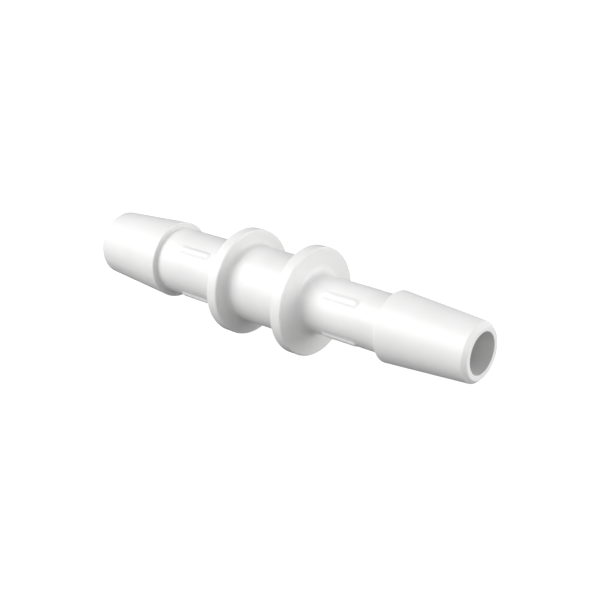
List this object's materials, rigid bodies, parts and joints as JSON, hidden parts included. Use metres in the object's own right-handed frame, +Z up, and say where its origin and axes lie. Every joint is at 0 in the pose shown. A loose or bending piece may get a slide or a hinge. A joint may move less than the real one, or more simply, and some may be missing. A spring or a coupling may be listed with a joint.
{
  "type": "reducing hose coupling",
  "caption": "Straight one-piece plastic coupling with a barbed spigot on each end, one narrower than the other, and two stop flanges in the middle.",
  "frame": {"origin": "on the bore's axis, midway between the two stop flanges and between the two mouths", "axes": "+X along the bore towards the end for the narrower hose, +Z up, with the coupling lying on its flanges"},
  "size_m": [0.052, 0.012, 0.012],
  "materials": {
    "white_plastic": "satin moulded white nylon or polypropylene"
  },
  "bodies": {
    "root": {"coupling_body": "white_plastic"}
  },
  "joints": []
}
